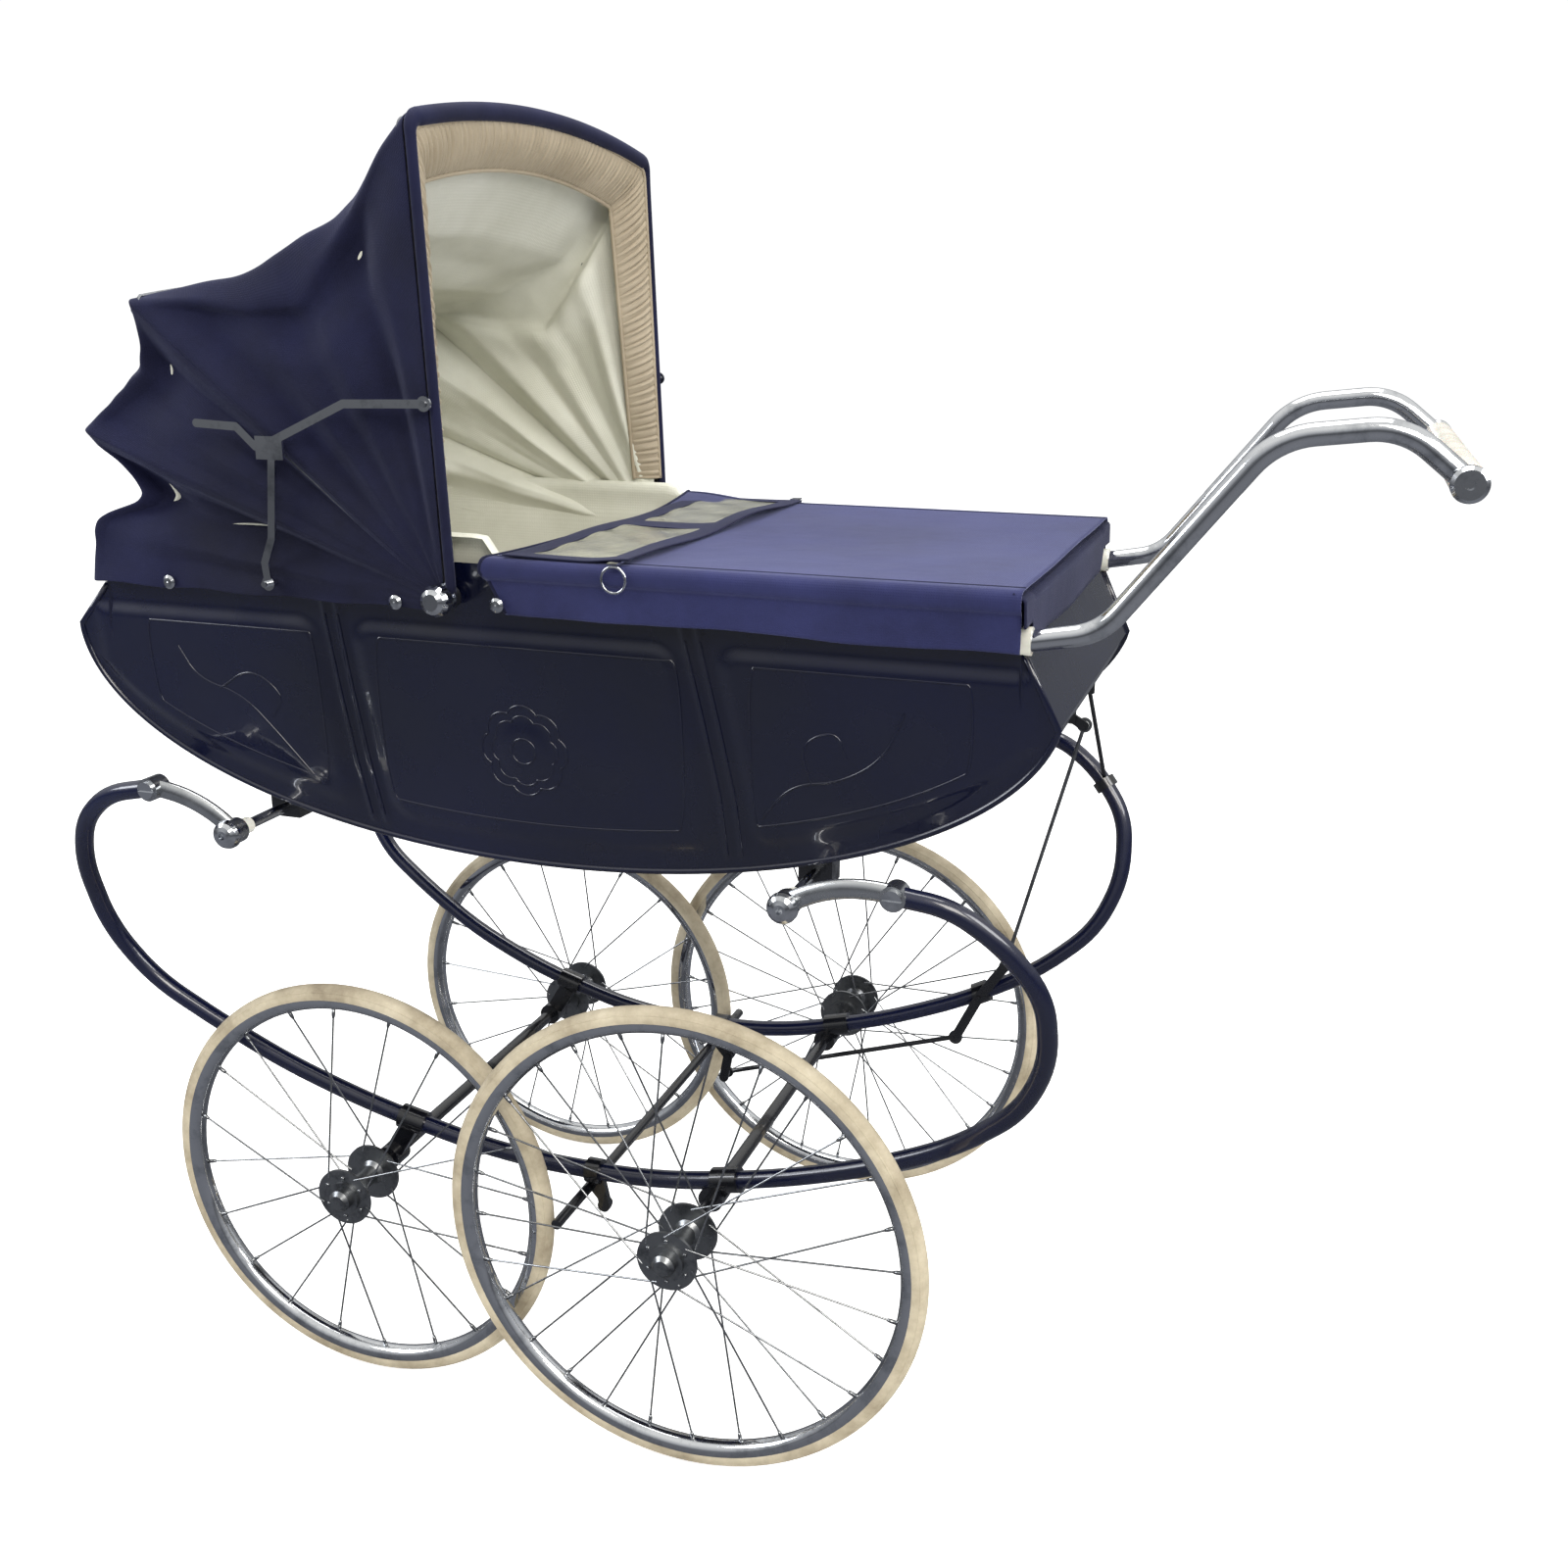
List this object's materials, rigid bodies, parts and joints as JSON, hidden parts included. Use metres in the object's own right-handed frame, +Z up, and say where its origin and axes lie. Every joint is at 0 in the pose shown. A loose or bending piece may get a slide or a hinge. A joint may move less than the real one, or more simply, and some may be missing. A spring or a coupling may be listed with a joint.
{
  "type": "baby stroller",
  "caption": "Coach-built baby stroller with a boat-shaped body slung on spring loops, spoked wheels, folding fabric hood, apron cover, push handle and foot brake.",
  "frame": {"origin": "on the ground under the middle of the overall length and width", "axes": "+X towards the push handle end, +Y the right-hand side when travelling hood first (the near left side is -Y), +Z up"},
  "size_m": [1.3581, 0.688, 1.3319],
  "materials": {
    "navy_enamel": "deep navy gloss enamel",
    "black_enamel": "black gloss enamel",
    "chrome": "bright chrome plate",
    "cast_aluminium": "polished casting",
    "hub_steel": "dull plated steel",
    "spring_steel": "plain strip steel",
    "cream_tyre": "aged cream rubber, matte",
    "navy_canvas": "waterproofed cotton canvas",
    "cream_satin": "ruched satin",
    "cream_vinyl": "padded coated cloth",
    "clear_vinyl": "aged clear sheet",
    "white_nylon": "white nylon",
    "cream_grip": "cream moulded grip",
    "board": "plain plywood",
    "mattress_cover": "cotton ticking"
  },
  "bodies": {
    "carriage": {"side_loop_left": "navy_enamel", "side_loop_right": "navy_enamel", "axle_brackets": "black_enamel", "front_axle": "black_enamel", "rear_axle": "black_enamel", "hanger_arms": "cast_aluminium", "hanger_screws_and_caps": "chrome", "cross_rods": "chrome", "cross_rod_bushes": "white_nylon", "body_saddles": "black_enamel", "brake_hangers_and_stay": "black_enamel", "tub_shell": "navy_enamel", "tub_lining": "cream_vinyl", "floor_board": "board", "mattress": "mattress_cover", "apron_cover": "navy_canvas", "handle_tubes": "chrome", "handle_end_caps": "chrome", "handle_sockets": "white_nylon", "handle_grip": "cream_grip", "studs_and_stay_posts": "chrome", "harness_rings": "chrome", "hood_pivot_bolts": "chrome"},
    "wheel_front_left": {"tyre_front_left": "cream_tyre", "rim_front_left": "chrome", "spokes_front_left": "chrome", "hub_front_left": "hub_steel"},
    "wheel_front_right": {"tyre_front_right": "cream_tyre", "rim_front_right": "chrome", "spokes_front_right": "chrome", "hub_front_right": "hub_steel"},
    "wheel_rear_left": {"tyre_rear_left": "cream_tyre", "rim_rear_left": "chrome", "spokes_rear_left": "chrome", "hub_rear_left": "hub_steel"},
    "wheel_rear_right": {"tyre_rear_right": "cream_tyre", "rim_rear_right": "chrome", "spokes_rear_right": "chrome", "hub_rear_right": "hub_steel"},
    "hood_rear": {"rear_bow": "spring_steel", "hood_cloth_rear": "navy_canvas"},
    "hood_middle": {"middle_bow": "spring_steel", "hood_cloth_middle": "navy_canvas"},
    "hood_front": {"front_bow": "spring_steel", "hood_cloth_front": "navy_canvas", "hood_frill": "cream_satin"},
    "stay_uppers": {"stay_upper_left": "chrome", "stay_upper_right": "chrome"},
    "stay_lowers": {"stay_lower_left": "chrome", "stay_lower_right": "chrome"},
    "hood_knob_left": {"hood_knob_left": "chrome"},
    "hood_knob_right": {"hood_knob_right": "chrome"},
    "storm_flap": {"storm_flap": "navy_canvas", "flap_windows": "clear_vinyl", "flap_rings": "chrome"},
    "brake_bar": {"brake_bar": "black_enamel"},
    "brake_link_rod": {"brake_link_rod": "black_enamel"},
    "brake_crank": {"brake_crank": "black_enamel"},
    "brake_pull_rod": {"brake_pull_rod": "hub_steel"},
    "brake_lever": {"brake_lever": "black_enamel"}
  },
  "joints": [
    {"name": "wheel_spin_front_left", "type": "hinge", "parent": "carriage", "child": "wheel_front_left", "pos_m": [-0.36141, 0, 0.2305], "axis": [0, 1, 0], "continuous": true},
    {"name": "wheel_spin_front_right", "type": "hinge", "parent": "carriage", "child": "wheel_front_right", "pos_m": [-0.36141, 0, 0.2305], "axis": [0, 1, 0], "continuous": true},
    {"name": "wheel_spin_rear_left", "type": "hinge", "parent": "carriage", "child": "wheel_rear_left", "pos_m": [0.02459, 0, 0.254], "axis": [0, 1, 0], "continuous": true},
    {"name": "wheel_spin_rear_right", "type": "hinge", "parent": "carriage", "child": "wheel_rear_right", "pos_m": [0.02459, 0, 0.254], "axis": [0, 1, 0], "continuous": true},
    {"name": "hood_front_fold", "type": "hinge", "parent": "hood_middle", "child": "hood_front", "pos_m": [-0.22041, 0, 0.88], "axis": [0, -1, 0], "range_deg": [0, 42.3], "deforming": ["hood_cloth_front", "hood_frill"]},
    {"name": "hood_middle_fold", "type": "hinge", "parent": "hood_rear", "child": "hood_middle", "pos_m": [-0.22041, 0, 0.88], "axis": [0, -1, 0], "range_deg": [0, 14], "deforming": ["hood_cloth_middle"]},
    {"name": "hood_rear_fold", "type": "hinge", "parent": "carriage", "child": "hood_rear", "pos_m": [-0.22041, 0, 0.88], "axis": [0, -1, 0], "range_deg": [0, 14.4], "deforming": ["hood_cloth_rear"]},
    {"name": "stay_upper_fold", "type": "hinge", "parent": "hood_front", "child": "stay_uppers", "pos_m": [-0.22441, 0, 1.06], "axis": [0, -1, 0], "range_deg": [-55.08, 0]},
    {"name": "stay_lower_fold", "type": "hinge", "parent": "carriage", "child": "stay_lowers", "pos_m": [-0.41041, 0, 0.884], "axis": [0, -1, 0], "range_deg": [0, 110.76]},
    {"name": "hood_knob_left_turn", "type": "hinge", "parent": "carriage", "child": "hood_knob_left", "pos_m": [-0.22041, -0.276, 0.88], "axis": [0, -1, 0], "continuous": true},
    {"name": "hood_knob_right_turn", "type": "hinge", "parent": "carriage", "child": "hood_knob_right", "pos_m": [-0.22041, 0.276, 0.88], "axis": [0, 1, 0], "continuous": true},
    {"name": "storm_flap_lift", "type": "hinge", "parent": "carriage", "child": "storm_flap", "pos_m": [-0.16141, 0, 0.9204], "axis": [0, -1, 0], "range_deg": [0, 95]},
    {"name": "brake_apply", "type": "hinge", "parent": "carriage", "child": "brake_bar", "pos_m": [-0.10541, 0, 0.212], "axis": [0, -1, 0], "range_deg": [0, 6]},
    {"name": "brake_link_turn", "type": "hinge", "parent": "brake_bar", "child": "brake_link_rod", "pos_m": [-0.11141, 0, 0.18], "axis": [0, -1, 0], "range_deg": [-6.22, 0]},
    {"name": "brake_crank_turn", "type": "hinge", "parent": "carriage", "child": "brake_crank", "pos_m": [0.21759, 0, 0.33733], "axis": [0, -1, 0], "range_deg": [0, 3.58]},
    {"name": "brake_pull_turn", "type": "hinge", "parent": "brake_crank", "child": "brake_pull_rod", "pos_m": [0.24659, 0, 0.381], "axis": [0, -1, 0], "range_deg": [-4.19, 0]},
    {"name": "brake_lever_turn", "type": "hinge", "parent": "carriage", "child": "brake_lever", "pos_m": [0.30459, 0, 0.702], "axis": [0, -1, 0], "range_deg": [0, 2.48]}
  ],
  "couplings": [
    {"joint": "hood_middle_fold", "follows": "hood_front_fold", "ratio": 0.33097},
    {"joint": "hood_rear_fold", "follows": "hood_front_fold", "ratio": 0.34043},
    {"joint": "stay_upper_fold", "follows": "hood_front_fold", "ratio": -1.3021},
    {"joint": "stay_lower_fold", "follows": "hood_front_fold", "ratio": 2.6184},
    {"joint": "brake_link_turn", "follows": "brake_apply", "ratio": -1.0374},
    {"joint": "brake_crank_turn", "follows": "brake_apply", "ratio": 0.59667},
    {"joint": "brake_pull_turn", "follows": "brake_apply", "ratio": -0.6983},
    {"joint": "brake_lever_turn", "follows": "brake_apply", "ratio": 0.41393}
  ]
}
